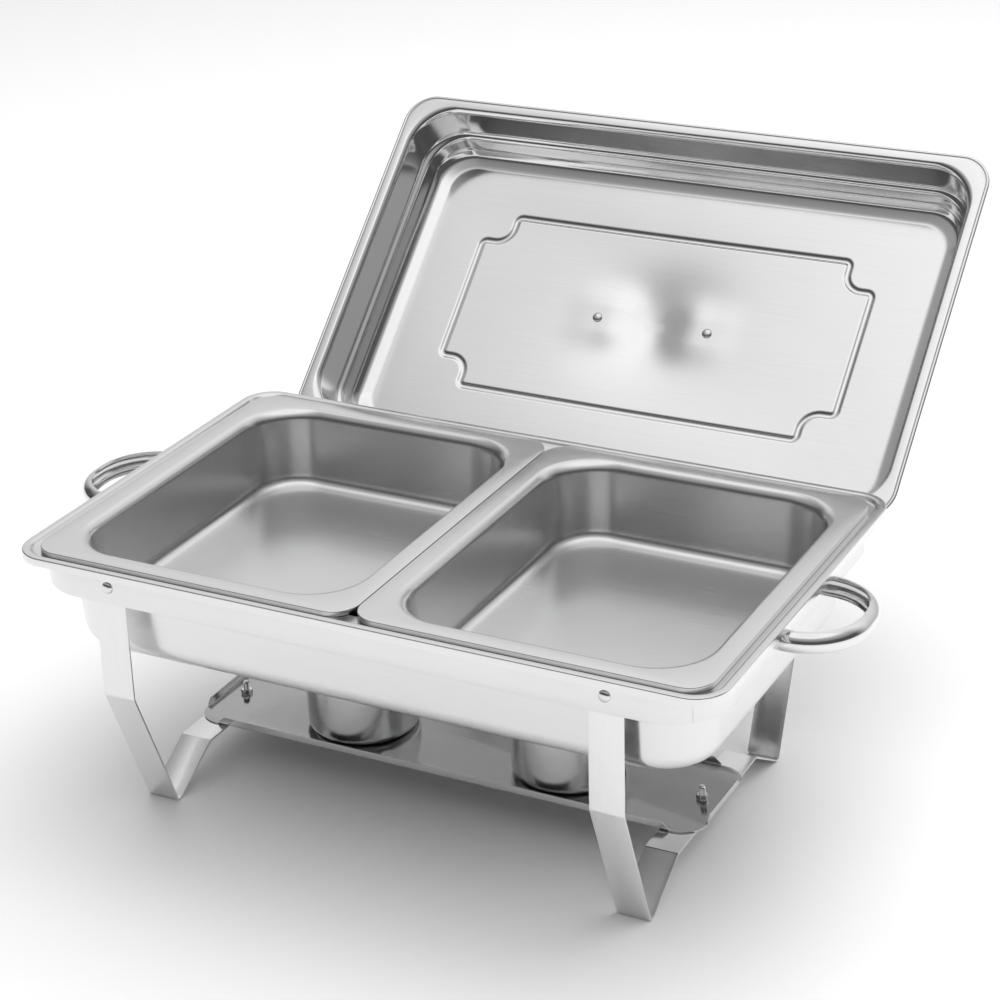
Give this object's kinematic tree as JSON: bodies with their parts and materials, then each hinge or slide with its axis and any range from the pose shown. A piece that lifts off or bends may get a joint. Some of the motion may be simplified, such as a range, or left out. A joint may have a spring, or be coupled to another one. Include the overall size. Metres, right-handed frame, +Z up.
{
  "type": "chafing dish",
  "caption": "Oblong stainless chafing dish with a back-hinged lid, half-size food pans in a water pan, folding leg frames and a shelf for fuel cups.",
  "frame": {"origin": "on the table, midway between the four feet, under the middle of the dish", "axes": "+X along the dish to the right, +Y to the back where the lid is hinged, +Z up; drawn with the lid standing open"},
  "size_m": [0.644, 0.6254, 0.3976],
  "materials": {
    "body_steel": "satin, fine lengthwise grain",
    "pan_steel": "satin flange, soft bright bowl",
    "lid_steel": "bright annealed, faint grain",
    "stand_steel": "bright, slightly brushed",
    "cup_steel": "bright drawn",
    "fastener_steel": "bright machined"
  },
  "bodies": {
    "ring": {"frame_ring": "body_steel", "end_handle_left": "stand_steel", "end_handle_right": "stand_steel", "leg_rivets": "fastener_steel", "hinge_lug_left": "fastener_steel", "hinge_lug_right": "fastener_steel", "hinge_pins": "fastener_steel"},
    "left_leg": {"leg_frame_left": "stand_steel", "shelf_stud_left": "fastener_steel"},
    "right_leg": {"leg_frame_right": "stand_steel", "shelf_stud_right": "fastener_steel"},
    "shelf": {"fuel_shelf": "stand_steel", "shelf_nuts": "fastener_steel"},
    "left_cup": {"fuel_cup_left": "cup_steel"},
    "right_cup": {"fuel_cup_right": "cup_steel"},
    "water_tray": {"water_pan": "body_steel"},
    "left_food": {"food_pan_left": "pan_steel"},
    "right_food": {"food_pan_right": "pan_steel"},
    "lid": {"lid_shell": "lid_steel", "lid_handle": "lid_steel", "lid_handle_screws": "fastener_steel", "hinge_strap_left": "fastener_steel", "hinge_strap_right": "fastener_steel"}
  },
  "joints": [
    {"name": "left_leg_fold", "type": "hinge", "parent": "ring", "child": "left_leg", "pos_m": [-0.1955, 0, 0.1978], "axis": [0, -1, 0], "range_deg": [0, 90]},
    {"name": "right_leg_fold", "type": "hinge", "parent": "ring", "child": "right_leg", "pos_m": [0.1955, 0, 0.1978], "axis": [0, 1, 0], "range_deg": [0, 81]},
    {"name": "shelf_lift", "type": "slide", "parent": "ring", "child": "shelf", "axis": [0, 0, 1], "range_m": [0, 0.236]},
    {"name": "left_cup_lift", "type": "slide", "parent": "shelf", "child": "left_cup", "axis": [0, 0, 1], "range_m": [0, 0.04]},
    {"name": "right_cup_lift", "type": "slide", "parent": "shelf", "child": "right_cup", "axis": [0, 0, 1], "range_m": [0, 0.04]},
    {"name": "water_tray_lift", "type": "slide", "parent": "ring", "child": "water_tray", "axis": [0, 0, 1], "range_m": [0, 0.236]},
    {"name": "left_food_lift", "type": "slide", "parent": "water_tray", "child": "left_food", "axis": [0, 0, 1], "range_m": [0, 0.12]},
    {"name": "right_food_lift", "type": "slide", "parent": "water_tray", "child": "right_food", "axis": [0, 0, 1], "range_m": [0, 0.12]},
    {"name": "lid_swing", "type": "hinge", "parent": "ring", "child": "lid", "pos_m": [0, 0.1716, 0.1905], "axis": [-1, 0, 0], "range_deg": [-137.6, 0]}
  ],
  "couplings": [
    {"joint": "right_leg_fold", "follows": "left_leg_fold", "ratio": 0.9},
    {"joint": "shelf_lift", "follows": "left_leg_fold", "m_per_rad": 0.15},
    {"joint": "water_tray_lift", "follows": "left_leg_fold", "m_per_rad": 0.15}
  ]
}
